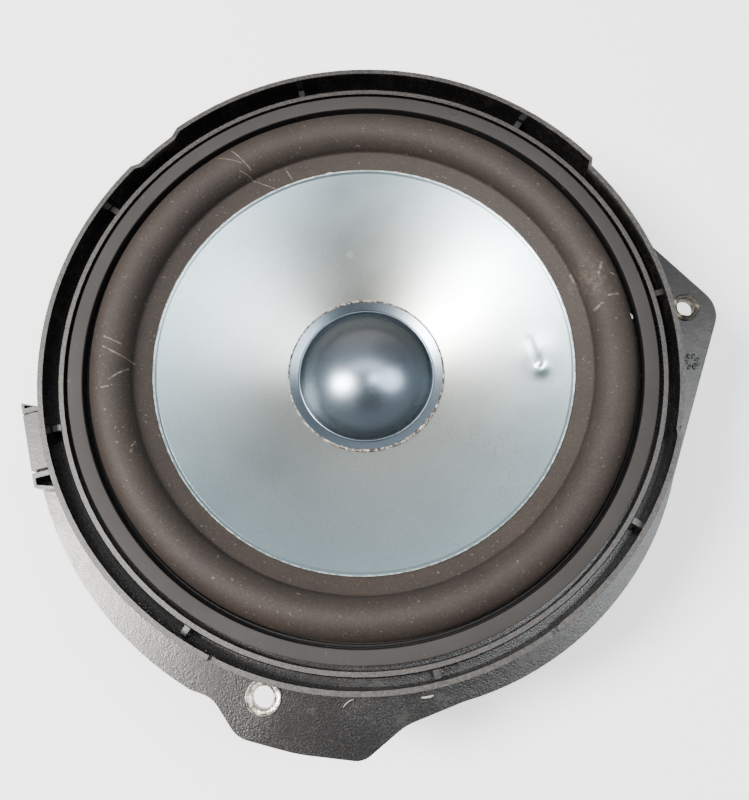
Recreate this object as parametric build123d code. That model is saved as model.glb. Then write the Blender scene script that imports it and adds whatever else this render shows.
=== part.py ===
"""Eight-inch (200 mm) car subwoofer driver, as separate pieces.

Frame: origin at the centre of the motor's rear face, +Z towards the front of the cone,
+X towards the wide mounting ear. All sizes are in millimetres.
"""
import os
from math import atan2, cos, degrees, pi, radians, sin, tan

from build123d import *

# ---- driving dimensions -----------------------------------------------------------------
FACE = 71.0                 # height of the flat trim ring above the motor's rear face
FLANGE_TOP = FACE - 9.0     # front face of the mounting flange
FLANGE_T = 3.0
FLANGE_REAR = FLANGE_TOP - FLANGE_T

# motor
YOKE_R, YOKE_T = 46.0, 6.0
MAGNET_R, MAGNET_HOLE_R, MAGNET_T = 47.5, 26.0, 15.0
TOP_PLATE_R, TOP_PLATE_T = 45.0, 6.0
GAP_R = 20.6                # bore of the top plate
POLE_R = 18.7
VENT_R = 5.5                # vent through the pole
SCREEN_Z, SCREEN_T = 22.0, 0.5
MAGNET_TOP = YOKE_T + MAGNET_T
MOTOR_TOP = MAGNET_TOP + TOP_PLATE_T

# voice coil
FORMER_R = 19.05            # inside radius
FORMER_T = 0.2
WINDING_T, WINDING_H = 0.7, 14.0
FORMER_BOTTOM = 15.0
FORMER_TOP = 47.5
COIL_R = FORMER_R + FORMER_T

# cone and dust cap
CONE_SLOPE = radians(21.0)
CONE_EDGE_R = 69.0
CONE_EDGE_Z = FACE - 4.4
CONE_T = 0.5
NECK_R = 20.2
NECK_BOTTOM = 43.5
CAP_R = 22.9                # root of the dome
CAP_SKIRT_R = 26.5
CAP_T = 0.4
DOME_RISE = 10.0

# surround: a half roll between the cone's edge and the trim ring
LAND_INNER_R = 66.0
ROLL_INNER_R, ROLL_OUTER_R = 74.9, 88.5
ROLL_RISE = 6.45
SURROUND_T = 1.0
GLUE_GAP = 0.35

# front of the basket
SEAT_R = 87.2               # inner edge of the surround's seat
SEAT_TOP = FACE - 6.5
TRIM_INNER_R, TRIM_OUTER_R = 90.3, 95.0
LIP_INNER_R, LIP_OUTER_R = 96.7, 98.5
LIP_TOP = FACE - 1.2
RIM_TOP = FACE + 3.0
RIM_T = 1.7
CHANNEL_RIB_ANGLES = [13.2 + 45.0 * k for k in range(8)]

# rim wall, anticlockwise from +X: (start angle, end angle, outside radius at each)
RIM_SECTORS = [
    (-14.0, 41.0, 102.4, 101.3),
    (42.0, 128.5, 103.6, 103.6),
    (130.5, 138.5, 102.0, 102.0),
    (140.0, 305.0, 103.4, 103.4),
    (306.0, 345.0, 103.1, 103.1),
]
RIM_NOTCH_ANGLES = [245.0, 304.1, 346.2]

# rear of the basket
LANDING_R, LANDING_OUTER_R = 49.5, 58.0
LANDING_TOP = 37.4
MOTOR_SEAT_HOLE_R = 29.0
MOTOR_SEAT_T = 3.0
LEGS = 6
WINDOW_INNER_R, WINDOW_OUTER_R, WINDOW_HALF_ANGLE = 61.0, 85.0, 20.5
WINDOW_CORNER_R = 2.0
LEG_INNER_R, LEG_OUTER_R, LEG_HALF_ANGLE = 63.5, 82.5, 14.0

# mounting holes: centre, and the hole, barrel and head radii of the steel sleeve in each
MOUNTING_HOLES = {
    "right": ((108.0, 20.0), 2.9, 3.9, 4.7),
    "bottom": ((-29.5, -104.5), 3.3, 4.6, 5.5),
}
SLEEVE_HEAD_T = 0.7

# spider
SPIDER_T = 0.6
SPIDER_OUTER_R = 57.0
SPIDER_LAND_R = LANDING_R - 0.3
SPIDER_WAVES = 5
SPIDER_AMPLITUDE = 1.2

# terminal block, in the basket window towards +Y
PLATE_Y, PLATE_T, PLATE_HALF_W = 58.5, 4.0, 14.0
BLOCK_Y, BLOCK_DEPTH, BLOCK_HALF_W = PLATE_Y + PLATE_T, 20.0, 13.0
BLOCK_Z, BLOCK_H = 33.0, 14.0
SOCKET_DEPTH, SOCKET_HALF_W, SOCKET_H = 12.0, 10.6, 10.0
BLADE_X, BLADE_T = 6.6, 0.8
BLADE_Z = 40.0
BLADE_WIDTHS = {"positive": 6.3, "negative": 4.8}
TAG_Y = 52.5
TAG_TOP = 45.0
LEAD_R = 0.9

SCREW_CIRCLE_R = 38.5
SCREW_SHANK_R, SCREW_HEAD_R, SCREW_HEAD_T = 2.0, 3.6, 2.2


# ---- helpers ------------------------------------------------------------------------------
def turned(points):
    """Solid of revolution about Z of a closed (radius, height) outline."""
    return revolve(Plane.XZ * make_face(Polyline(*points, close=True)), axis=Axis.Z)


def tube(outer_r, inner_r, z0, z1):
    """Plain ring between two heights."""
    return turned([(inner_r, z0), (outer_r, z0), (outer_r, z1), (inner_r, z1)])


def disc(radius, z0, z1):
    return Pos(0, 0, z0) * extrude(Circle(radius), amount=z1 - z0)


def block(x0, x1, y0, y1, z0, z1):
    """Box between two corners."""
    size = Box(x1 - x0, y1 - y0, z1 - z0)
    return Pos((x0 + x1) / 2, (y0 + y1) / 2, (z0 + z1) / 2) * size


def polar(radius, angle):
    """Point in the XY plane at an angle in degrees."""
    return (radius * cos(radians(angle)), radius * sin(radians(angle)))


def prism(points, z0, z1):
    """Straight-sided solid over a closed XY outline."""
    return Pos(0, 0, z0) * extrude(make_face(Polyline(*points, close=True)), amount=z1 - z0)


def spread(shape, count, start=0.0):
    """The same shape repeated evenly about Z."""
    return [Rot(0, 0, start + 360.0 / count * k) * shape for k in range(count)]


def cone_z(radius):
    """Height of the cone's front face at a radius."""
    return CONE_EDGE_Z - (CONE_EDGE_R - radius) * tan(CONE_SLOPE)


# ---- basket -------------------------------------------------------------------------------
def rim_face(inset):
    """Area inside the rim wall: arcs joined by short straight steps."""
    edges = []
    previous = polar(RIM_SECTORS[-1][3] - inset, RIM_SECTORS[-1][1])
    for start, end, start_r, end_r in RIM_SECTORS:
        first, last = polar(start_r - inset, start), polar(end_r - inset, end)
        middle = polar((start_r + end_r) / 2 - inset, (start + end) / 2)
        edges.append(Line(previous, first))
        edges.append(ThreePointArc(first, middle, last))
        previous = last
    return make_face(edges)


def flange_plate():
    """Mounting flange: the area inside the rim, the right ear and the lower lobe."""
    ear = FilletPolyline((77.5, 64.0), (119.7, 20.4), (99.8, -37), radius=[10])
    right_arc = ThreePointArc((99.8, -37), (77.5, -77.5), (31, -105.8))
    lobe = FilletPolyline(
        (31, -105.8), (13.5, -112.6), (1.0, -122.8), (-19.0, -120.6), (-37.0, -116.0), (-45.0, -104.7),
        (-52, -102.3), radius=[16, 7, 60, 9, 9],
    )
    left_arc = ThreePointArc((-52, -102.3), (-87.2, -71.0), (-106.4, -29))
    inside = Polyline((-106.4, -29), (-98, -16), (0, 0), (77.5, 64.0))
    plate = rim_face(0.2) + make_face([ear, right_arc, lobe, left_arc, inside])
    return Pos(0, 0, FLANGE_REAR) * extrude(plate, amount=FLANGE_T)


def locating_clip():
    """Block on the left of the rim with a slit and a thin gusset loop at each end.

    Built pointing along +X, with v running anticlockwise, then turned into place.
    """
    outer_u, wall = 109.8, 0.9
    z0, z1 = FLANGE_REAR, FACE - 2.0
    outline = [
        (101.9, -11.2), (104.8, -11.2), (outer_u - 0.4, -13.3), (outer_u, -13.1),
        (outer_u, 14.6), (outer_u - 0.6, 15.0), (103.4, 16.8), (101.9, 16.8),
    ]
    clip = prism(outline, z0, z1)
    clip -= prism([(103.7, 11.8), (outer_u - wall, 11.8), (outer_u - wall, 14.0), (103.7, 15.7)], z0, z1)
    clip -= prism([(106.2, -11.4), (outer_u - wall, -11.4), (outer_u - wall, -12.5)], z0 + 3, z1)
    clip -= block(103.4, outer_u, 9.2, 10.1, z1 - 4.0, z1)
    clip -= block(103.4, outer_u, -9.7, -9.2, z1 - 0.8, z1)
    return Rot(0, 0, 194.6) * clip


def window(angle):
    """Cutter for one opening between two legs."""
    a0, a1 = angle - WINDOW_HALF_ANGLE, angle + WINDOW_HALF_ANGLE
    inner = ThreePointArc(
        polar(WINDOW_INNER_R, a0), polar(WINDOW_INNER_R, angle), polar(WINDOW_INNER_R, a1))
    outer = ThreePointArc(
        polar(WINDOW_OUTER_R, a1), polar(WINDOW_OUTER_R, angle), polar(WINDOW_OUTER_R, a0))
    sides = [Line(inner @ 1, outer @ 0), Line(outer @ 1, inner @ 0)]
    face = make_face([inner, sides[0], outer, sides[1]])
    face = fillet(face.vertices(), WINDOW_CORNER_R)
    return Pos(0, 0, MOTOR_TOP) * extrude(face, amount=FLANGE_REAR - MOTOR_TOP)


def basket():
    seat_z = MOTOR_TOP
    shell_bottom, shell_top = LANDING_TOP - 3.4, FLANGE_REAR
    shell = turned([
        (LANDING_OUTER_R - 1.5, shell_bottom), (LANDING_OUTER_R + 1.0, shell_bottom),
        (SEAT_R + 5.0, shell_top), (SEAT_R + 1.5, shell_top + 0.5), (SEAT_R, shell_top + 0.5),
    ])
    body = flange_plate() - disc(SEAT_R, FLANGE_REAR, FLANGE_TOP)
    body += tube(LIP_OUTER_R, SEAT_R, FLANGE_REAR, SEAT_TOP)
    lip = [(LIP_INNER_R, SEAT_TOP), (LIP_OUTER_R + 0.5, SEAT_TOP),
           (LIP_OUTER_R, LIP_TOP - 0.3), (LIP_OUTER_R - 0.3, LIP_TOP), (LIP_INNER_R, LIP_TOP)]
    body += turned(lip) + tube(LIP_OUTER_R + 0.5, LIP_INNER_R, FLANGE_TOP, SEAT_TOP)
    wall = extrude(rim_face(0), amount=RIM_TOP - FLANGE_REAR)
    wall -= extrude(rim_face(RIM_T), amount=RIM_TOP - FLANGE_REAR)
    body += Pos(0, 0, FLANGE_REAR) * wall
    body += locating_clip()
    for angle in CHANNEL_RIB_ANGLES:
        rib = block(LIP_INNER_R + 0.8, 101.4, -1.0, 1.0, FLANGE_TOP - 1, LIP_TOP - 1.0)
        body += Rot(0, 0, angle) * rib
    for angle in RIM_NOTCH_ANGLES:
        body -= Rot(0, 0, angle) * block(101.6, 104.5, -0.9, 0.9, RIM_TOP - 1.6, RIM_TOP)

    body += shell
    body += tube(LANDING_OUTER_R, LANDING_R, seat_z, LANDING_TOP)
    body += tube(LANDING_R + 1, MOTOR_SEAT_HOLE_R, seat_z, seat_z + MOTOR_SEAT_T)
    for k in range(LEGS):
        body -= window(30.0 + 60.0 * k)
    rib = Plane.XZ * make_face(Polyline(
        (LANDING_OUTER_R - 1, seat_z + 1), (66, seat_z + 6), (92.5, FLANGE_REAR - 3.5), (92.5, FLANGE_REAR + 0.5),
        (SEAT_R + 3, FLANGE_REAR + 0.5), (LANDING_OUTER_R, shell_bottom + 0.6),
        (LANDING_OUTER_R - 1, shell_bottom + 0.6), close=True))
    rib = extrude(rib, amount=1.3, both=True)
    for angle in (-6.0, 6.0):
        for copy in spread(rib, LEGS, angle):
            body += copy

    body += block(-PLATE_HALF_W, PLATE_HALF_W, 50, PLATE_Y + PLATE_T, seat_z, LANDING_TOP)
    body += block(-PLATE_HALF_W, PLATE_HALF_W, PLATE_Y, PLATE_Y + PLATE_T, LANDING_TOP, BLOCK_Z + BLOCK_H)
    body -= disc(LANDING_R, seat_z + MOTOR_SEAT_T, LANDING_TOP)
    for side, width in zip((-1, 1), BLADE_WIDTHS.values()):
        body -= block(side * BLADE_X - width / 2, side * BLADE_X + width / 2, PLATE_Y - 1,
                      BLOCK_Y + 1, BLADE_Z - BLADE_T / 2, BLADE_Z + BLADE_T / 2)
    for centre, _, barrel_r, head_r in MOUNTING_HOLES.values():
        body -= Pos(*centre, 0) * disc(barrel_r, FLANGE_REAR, FLANGE_TOP)
        body -= Pos(*centre, 0) * disc(head_r, FLANGE_TOP, FLANGE_TOP + SLEEVE_HEAD_T)
    hole = Pos(SCREW_CIRCLE_R, 0, 0) * disc(SCREW_SHANK_R + 0.3, seat_z, seat_z + MOTOR_SEAT_T)
    for copy in spread(hole, 4, 45.0):
        body -= copy
    return body


def basket_nodes():
    """The moulding as rim, legs and cup, so that each is a simple shape round the windows."""
    body = basket()
    depth = FLANGE_REAR - MOTOR_TOP
    sector = Polyline((0, 0), polar(100, -LEG_HALF_ANGLE), polar(100, LEG_HALF_ANGLE), close=True)
    zone = Pos(0, 0, MOTOR_TOP) * extrude(make_face(sector), amount=depth)
    zone &= tube(LEG_OUTER_R, LEG_INNER_R, MOTOR_TOP, FLANGE_REAR)
    legs = [body & copy for copy in spread(zone, LEGS)]
    for copy in spread(zone, LEGS):
        body -= copy
    cup, rim = sorted(body.solids(), key=lambda solid: solid.volume)
    return {"basket_rim": rim, "basket_legs": Compound(children=legs), "basket_cup": cup}


def sleeve(name):
    """Steel compression sleeve with a thin head on the flange's front face."""
    centre, hole_r, barrel_r, head_r = MOUNTING_HOLES[name]
    body = disc(barrel_r, FLANGE_REAR, FLANGE_TOP)
    body += disc(head_r, FLANGE_TOP, FLANGE_TOP + SLEEVE_HEAD_T)
    body -= disc(hole_r, FLANGE_REAR, FLANGE_TOP + SLEEVE_HEAD_T)
    return Pos(*centre, 0) * body


def trim_ring():
    """Flat front ring that clamps the surround, with a low lip inside a fine groove."""
    base = SEAT_TOP + SURROUND_T
    return turned([
        (88.9, base), (TRIM_OUTER_R, base), (TRIM_OUTER_R, FACE - 0.4), (TRIM_OUTER_R - 0.4, FACE),
        (TRIM_INNER_R + 0.2, FACE), (TRIM_INNER_R, FACE - 0.2), (TRIM_INNER_R, FACE - 3.5),
        (89.8, FACE - 3.5), (89.8, FACE - 1.6), (88.9, FACE - 1.6),
    ])


def surround():
    """Half roll of rubber with a conical inner land and a flat outer land."""
    def land_z(radius):
        return cone_z(radius) - CONE_T / cos(CONE_SLOPE) - GLUE_GAP

    middle = (ROLL_INNER_R + ROLL_OUTER_R) / 2
    half = (ROLL_OUTER_R - ROLL_INNER_R) / 2
    root_z = land_z(ROLL_INNER_R)

    def roll(inset, count=16):
        """Points over the roll, from the inner root to the outer root."""
        for k in range(count + 1):
            turn = pi - pi * k / count
            yield (middle + (half - inset) * cos(turn), root_z + (ROLL_RISE - inset) * sin(turn))

    outer_land = SEAT_TOP + SURROUND_T
    top = [(LAND_INNER_R, land_z(LAND_INNER_R))] + list(roll(0))
    top += [(ROLL_OUTER_R, outer_land), (TRIM_OUTER_R, outer_land), (TRIM_OUTER_R, SEAT_TOP)]
    under = [(ROLL_OUTER_R - SURROUND_T, SEAT_TOP)] + list(roll(SURROUND_T))[::-1]
    under += [(ROLL_INNER_R + 0.2, root_z - SURROUND_T), (LAND_INNER_R, land_z(LAND_INNER_R) - SURROUND_T)]
    return turned(top + under)


# ---- moving assembly ----------------------------------------------------------------------
def cone():
    """Straight-sided aluminium cone with a short neck on the coil former."""
    drop = CONE_T / cos(CONE_SLOPE)
    return turned([
        (NECK_R, cone_z(NECK_R)), (CONE_EDGE_R, CONE_EDGE_Z), (CONE_EDGE_R, CONE_EDGE_Z - drop),
        (NECK_R + 0.3, cone_z(NECK_R + 0.3) - drop), (NECK_R + 0.3, NECK_BOTTOM),
        (COIL_R + 0.1, NECK_BOTTOM), (COIL_R + 0.1, cone_z(NECK_R)),
    ])


def dust_cap():
    """Spherical dome on a conical skirt that lies on the cone."""
    radius = (CAP_R ** 2 + DOME_RISE ** 2) / (2 * DOME_RISE)
    half_angle = atan2(CAP_R, radius - DOME_RISE)
    root = cone_z(CAP_R) + CAP_T

    def dome(offset, count=14):
        centre = root + DOME_RISE - radius
        for k in range(count + 1):
            turn = half_angle * (1 - k / count)
            yield ((radius - offset) * sin(turn), centre + (radius - offset) * cos(turn))

    skirt = [(CAP_SKIRT_R, cone_z(CAP_SKIRT_R)), (CAP_SKIRT_R, cone_z(CAP_SKIRT_R) + CAP_T)]
    inner = list(dome(CAP_T))
    return turned(skirt + list(dome(0)) + inner[::-1] + [(inner[0][0], cone_z(inner[0][0]))])


def cap_adhesive():
    """Bead of glue around the edge of the dust cap."""
    r = CAP_SKIRT_R
    return turned([(r, cone_z(r)), (r + 0.9, cone_z(r + 0.9)), (r + 0.5, cone_z(r) + 0.8), (r, cone_z(r) + 0.9)])


def neck_adhesive():
    """Fillet of glue between the former and the underside of the cone's neck."""
    return turned([(COIL_R, NECK_BOTTOM), (NECK_R, NECK_BOTTOM), (COIL_R, NECK_BOTTOM - 1.0)])


def spider():
    """Corrugated cloth disc between the former and the basket's landing."""
    start, end = COIL_R + GLUE_GAP, SPIDER_LAND_R
    pitch = (end - start - 2.0) / SPIDER_WAVES
    mid = LANDING_TOP
    line = [(start, mid), (start + 2.0, mid)]
    for k in range(SPIDER_WAVES):
        base = start + 2.0 + pitch * k
        line.append((base + pitch * 0.25, mid + SPIDER_AMPLITUDE))
        line.append((base + pitch * 0.75, mid - SPIDER_AMPLITUDE))
    line += [(end, mid), (SPIDER_OUTER_R, mid)]
    return turned(line + [(r, z + SPIDER_T) for r, z in line[::-1]])


def lead_pad(angle):
    """Small tinned tag on the former, where a lead is soldered."""
    pad = block(COIL_R - 0.3, COIL_R + 0.9, -1.3, 1.3, 39.6, 42.4) - disc(COIL_R, 39, 43)
    return Rot(0, 0, angle) * pad


def lead(angle):
    """Flexible lead from a terminal tag to the former, made whole along its route."""
    start_r = TAG_Y / sin(radians(angle)) - 0.2
    route = [(start_r, 43.9), (47.5, 44.2), (41.5, 47.4), (34.0, 47.2), (27.5, 42.9), (21.3, 41.2),
             (COIL_R + 0.9 + GLUE_GAP, 41.1)]
    radii = []
    for before, here, after in zip(route, route[1:], route[2:]):
        runs = [Vector(*here) - Vector(*before), Vector(*after) - Vector(*here)]
        turn = radians(runs[0].get_angle(runs[1]))
        radii.append(0.45 * min(runs[0].length, runs[1].length) / tan(turn / 2))
    path = Plane.XZ * FilletPolyline(*route[:-1], radius=radii[:-1])
    print("lead bend radii", [round(r, 1) for r in radii[:-1]], "length", round(path.length, 1))
    tube_face = Plane(path @ 0, z_dir=path % 0) * Circle(LEAD_R)
    return Rot(0, 0, angle) * sweep(tube_face, path=path)


# ---- motor --------------------------------------------------------------------------------
def yoke():
    """Back plate and vented pole, forged in one."""
    return turned([
        (VENT_R + 2.0, 0), (YOKE_R - 1, 0), (YOKE_R, 1), (YOKE_R, YOKE_T), (POLE_R, YOKE_T),
        (POLE_R, MOTOR_TOP), (VENT_R, MOTOR_TOP), (VENT_R, 2.0),
    ])


def motor_screws():
    """Four pan-head screws that hold the basket to the top plate."""
    seat = MOTOR_TOP + MOTOR_SEAT_T
    head = disc(SCREW_HEAD_R, seat, seat + SCREW_HEAD_T)
    head = fillet(head.edges().group_by(Axis.Z)[-1], 1.0)
    head -= block(-0.5, 0.5, -2.2, 2.2, seat + 1.1, seat + SCREW_HEAD_T)
    head -= block(-2.2, 2.2, -0.5, 0.5, seat + 1.1, seat + SCREW_HEAD_T)
    screw = head + disc(SCREW_SHANK_R, MOTOR_TOP - 5.0, seat)
    return Compound(children=spread(Pos(SCREW_CIRCLE_R, 0, 0) * screw, 4, 45.0))


def top_plate():
    plate = tube(TOP_PLATE_R, GAP_R, MAGNET_TOP, MOTOR_TOP)
    hole = Pos(SCREW_CIRCLE_R, 0, 0) * disc(SCREW_SHANK_R, MOTOR_TOP - 5.0, MOTOR_TOP)
    for copy in spread(hole, 4, 45.0):
        plate -= copy
    return plate


# ---- terminals ----------------------------------------------------------------------------
def terminal_block():
    body = block(-BLOCK_HALF_W, BLOCK_HALF_W, BLOCK_Y, BLOCK_Y + BLOCK_DEPTH, BLOCK_Z, BLOCK_Z + BLOCK_H)
    body = fillet(body.edges().filter_by(Axis.Y), 1.5)
    socket_z = BLADE_Z - SOCKET_H / 2
    mouth = BLOCK_Y + BLOCK_DEPTH
    body -= block(-SOCKET_HALF_W, SOCKET_HALF_W, mouth - SOCKET_DEPTH, mouth, socket_z, socket_z + SOCKET_H)
    body -= block(-2.5, 2.5, mouth - 4.0, mouth, socket_z + SOCKET_H, BLOCK_Z + BLOCK_H)
    for side, width in zip((-1, 1), BLADE_WIDTHS.values()):
        body -= block(side * BLADE_X - width / 2, side * BLADE_X + width / 2, BLOCK_Y,
                      mouth - SOCKET_DEPTH, BLADE_Z - BLADE_T / 2, BLADE_Z + BLADE_T / 2)
    return body


def terminal(side, width):
    """Brass strip: a blade in the socket and an upright solder tag inside the basket."""
    x0, x1 = side * BLADE_X - width / 2, side * BLADE_X + width / 2
    tip = BLOCK_Y + BLOCK_DEPTH - 3.0
    strip = block(x0, x1, TAG_Y, tip, BLADE_Z - BLADE_T / 2, BLADE_Z + BLADE_T / 2)
    strip = chamfer(strip.edges().group_by(Axis.Y)[-1].filter_by(Axis.Z), 1.0)
    return strip + block(x0, x1, TAG_Y, TAG_Y + BLADE_T, BLADE_Z - BLADE_T / 2, TAG_TOP)


def parts():
    angle = degrees(atan2(TAG_Y, BLADE_X))
    winding_middle = MAGNET_TOP + TOP_PLATE_T / 2
    return basket_nodes() | {
        "trim_ring": trim_ring(),
        "surround": surround(),
        "spider": spider(),
        "flange_gasket": tube(101.0, 93.5, FLANGE_REAR - 2.0, FLANGE_REAR),
        "sleeve_right": sleeve("right"),
        "sleeve_bottom": sleeve("bottom"),
        "motor_screws": motor_screws(),
        "top_plate": top_plate(),
        "magnet": tube(MAGNET_R, MAGNET_HOLE_R, YOKE_T, MAGNET_TOP),
        "yoke": yoke(),
        "vent_screen": disc(VENT_R, SCREEN_Z, SCREEN_Z + SCREEN_T),
        "terminal_block": terminal_block(),
        "terminal_positive": terminal(-1, BLADE_WIDTHS["positive"]),
        "terminal_negative": terminal(1, BLADE_WIDTHS["negative"]),
        "lead_positive": lead(180.0 - angle),
        "lead_negative": lead(angle),
        "cone": cone(),
        "dust_cap": dust_cap(),
        "cap_adhesive": cap_adhesive(),
        "neck_adhesive": neck_adhesive(),
        "coil_former": tube(COIL_R, FORMER_R, FORMER_BOTTOM, FORMER_TOP),
        "voice_coil": tube(
            COIL_R + WINDING_T, COIL_R, winding_middle - WINDING_H / 2, winding_middle + WINDING_H / 2),
        "lead_pad_positive": lead_pad(180.0 - angle),
        "lead_pad_negative": lead_pad(angle),
    }


os.makedirs("parts", exist_ok=True)
for node, shape in parts().items():
    export_step(shape, f"parts/{node}.step")
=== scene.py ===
"""Looks of an eight-inch car subwoofer driver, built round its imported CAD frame.

Metres, +Z out of the front of the cone, origin at the centre of the motor's rear face.
"""
import math

import bmesh
import bpy
from mathutils import Matrix, Vector
from mathutils import noise as waves


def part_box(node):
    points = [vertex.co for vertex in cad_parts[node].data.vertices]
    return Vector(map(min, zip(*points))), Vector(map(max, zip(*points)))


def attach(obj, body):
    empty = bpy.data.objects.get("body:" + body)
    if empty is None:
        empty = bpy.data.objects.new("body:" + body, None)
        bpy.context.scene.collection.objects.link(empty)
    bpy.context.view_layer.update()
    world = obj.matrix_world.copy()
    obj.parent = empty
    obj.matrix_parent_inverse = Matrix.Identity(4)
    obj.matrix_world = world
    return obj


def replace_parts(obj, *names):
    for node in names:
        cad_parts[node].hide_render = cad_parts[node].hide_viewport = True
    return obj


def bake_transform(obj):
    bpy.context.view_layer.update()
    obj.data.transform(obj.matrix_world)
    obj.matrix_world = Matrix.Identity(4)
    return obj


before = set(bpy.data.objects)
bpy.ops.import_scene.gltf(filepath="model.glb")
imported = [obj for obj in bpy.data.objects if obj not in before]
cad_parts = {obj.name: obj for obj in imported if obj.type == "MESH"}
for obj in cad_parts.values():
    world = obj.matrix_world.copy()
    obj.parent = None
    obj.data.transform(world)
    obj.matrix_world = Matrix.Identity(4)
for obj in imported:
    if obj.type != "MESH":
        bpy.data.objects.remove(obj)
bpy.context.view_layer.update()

MM = 0.001
CHASSIS, DIAPHRAGM = "chassis", "diaphragm"

# ---- sizes, from the frame ------------------------------------------------------------------
FACE_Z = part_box("trim_ring")[1].z           # flat front of the trim ring
TRIM_OUTER_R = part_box("trim_ring")[1].x
TRIM_BASE_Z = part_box("trim_ring")[0].z
CONE_EDGE_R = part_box("cone")[1].x
CONE_EDGE_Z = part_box("cone")[1].z
FLANGE_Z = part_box("sleeve_right")[1].z - 0.7 * MM
CAP_SKIRT_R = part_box("dust_cap")[1].x
CONE_TILT = math.radians(21.0)
CONE_SLOPE = math.tan(CONE_TILT)
CONE_T = 0.5 * MM                           # sheet of the cone
ROLL_INNER_R, ROLL_OUTER_R = 74.9 * MM, 88.5 * MM
ROLL_RISE = 6.9 * MM                        # of the surround over its root
SECTORS = 24                                # slices of the surround and the spider


def cone_z(radius):
    """Height of the cone's front face at a radius."""
    return CONE_EDGE_Z - (CONE_EDGE_R - radius) * CONE_SLOPE


# ---- nodes and colours ----------------------------------------------------------------------
MATH, VECTOR, RANGE, MIX = "ShaderNodeMath", "ShaderNodeVectorMath", "ShaderNodeMapRange", "ShaderNodeMix"
NOISE, BANDS, BUMP = "ShaderNodeTexNoise", "ShaderNodeTexWave", "ShaderNodeBump"
SPLIT, MERGE = "ShaderNodeSeparateXYZ", "ShaderNodeCombineXYZ"
COLOUR = {"data_type": "RGBA", "out": 2}    # what makes a Mix node mix colours
FACTOR, UNDER, OVER = 0, 6, 7               # the inputs it then has


def linear(code):
    """Linear RGBA of an sRGB hex colour."""
    parts = [int(code[i:i + 2], 16) / 255 for i in (1, 3, 5)]
    return [c / 12.92 if c <= 0.04045 else ((c + 0.055) / 1.055) ** 2.4 for c in parts] + [1.0]


def add(tree, kind, inputs=(), out=0, to=None, **settings):
    """Adds a node with its settings and links, and returns one of its outputs.

    Inputs, in order or by name, are values, hex colours, sockets or lists of sockets. The output is
    linked on to another socket where one is given.
    """
    node = tree.nodes.new(kind)
    for name, value in settings.items():
        setattr(node, name, value)
    for key, value in (inputs if isinstance(inputs, dict) else dict(enumerate(inputs))).items():
        values = value if isinstance(value, list) else [value]
        if isinstance(values[0], bpy.types.NodeSocket):
            for socket in values:
                tree.links.new(socket, node.inputs[key])
        else:
            node.inputs[key].default_value = linear(value) if str(value)[:1] == "#" else value
    if to is not None:
        tree.links.new(node.outputs[out], to)
    return node.outputs[out]


def lumps(size):
    """Scale of a noise with lumps of about a size in metres."""
    return 0.6 / size


def bands(pitch):
    """Scale of a wave pattern with a pitch in metres."""
    return 0.32 / pitch


def patches(tree, place, size, low, high, detail=2.0, rough=0.6):
    """0 to 1 in patches of about a size in metres, where noise passes from low to high."""
    cloud = add(tree, NOISE, {"Vector": place, "Scale": lumps(size), "Detail": detail, "Roughness": rough})
    return add(tree, RANGE, (cloud, low, high))


def relief(tree, sockets, place, size, depth, detail=3.0, strength=1.0):
    """Gives a surface an even grain of a size and a depth in metres."""
    grain = add(tree, NOISE, {"Vector": place, "Scale": lumps(size), "Detail": detail, "Roughness": 0.6})
    add(tree, BUMP, {"Height": grain, "Distance": depth, "Strength": strength}, to=sockets["Normal"])


def material(name, colour, roughness, metallic=0.0, **others):
    """A material with one Principled shader: returns it, its tree, the shader's inputs and the place."""
    made = bpy.data.materials.new(name)
    made.use_nodes = True
    tree = made.node_tree
    sockets = tree.nodes["Principled BSDF"].inputs
    values = {"Base Color": linear(colour), "Roughness": roughness, "Metallic": metallic, **others}
    for key, value in values.items():
        sockets[key].default_value = value
    place = add(tree, "ShaderNodeTexCoord", out="Object")
    return made, tree, sockets, place


def facing_up(tree):
    """1 on faces that look up and 0 on walls."""
    normal = add(tree, "ShaderNodeNewGeometry", out="Normal")
    return add(tree, RANGE, (add(tree, SPLIT, (normal,), "Z"), 0.75, 0.95))


def flat_distance(tree, place, spot):
    """Distance from an upright line through a point given in millimetres."""
    flat = add(tree, VECTOR, (place, (1, 1, 0)), operation="MULTIPLY")
    return add(tree, VECTOR, (flat, (spot[0] * MM, spot[1] * MM, 0)), "Value", operation="DISTANCE")


def off_circle(tree, place, spot, radius):
    """Distance from a circle drawn round a point, both given in millimetres."""
    past = add(tree, MATH, (flat_distance(tree, place, spot), radius * MM), operation="SUBTRACT")
    return add(tree, MATH, (past,), operation="ABSOLUTE")


def stroke(tree, place, start, end, width):
    """1 on a straight scratch between two points in millimetres, fading at its sides."""
    start, end = Vector((*start, 0)) * MM, Vector((*end, 0)) * MM
    run = end - start
    offset = add(tree, VECTOR, (place, start), operation="SUBTRACT")
    dot = add(tree, VECTOR, (offset, run / run.length_squared), "Value", operation="DOT_PRODUCT")
    along = add(tree, MATH, (dot, 0.0), operation="ADD", use_clamp=True)
    foot = add(tree, VECTOR, {0: run, "Scale": along}, operation="SCALE")
    away = add(tree, VECTOR, (offset, foot), operation="SUBTRACT")
    flat = add(tree, VECTOR, (away, (1, 1, 0)), operation="MULTIPLY")
    length = add(tree, VECTOR, (flat,), "Value", operation="LENGTH")
    return add(tree, RANGE, (length, width * MM, 0.3 * width * MM))


# ---- materials ------------------------------------------------------------------------------
RUBBED_Z = (68.5 * MM, 69.5 * MM)           # the basket's top edges are rubbed above this


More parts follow.
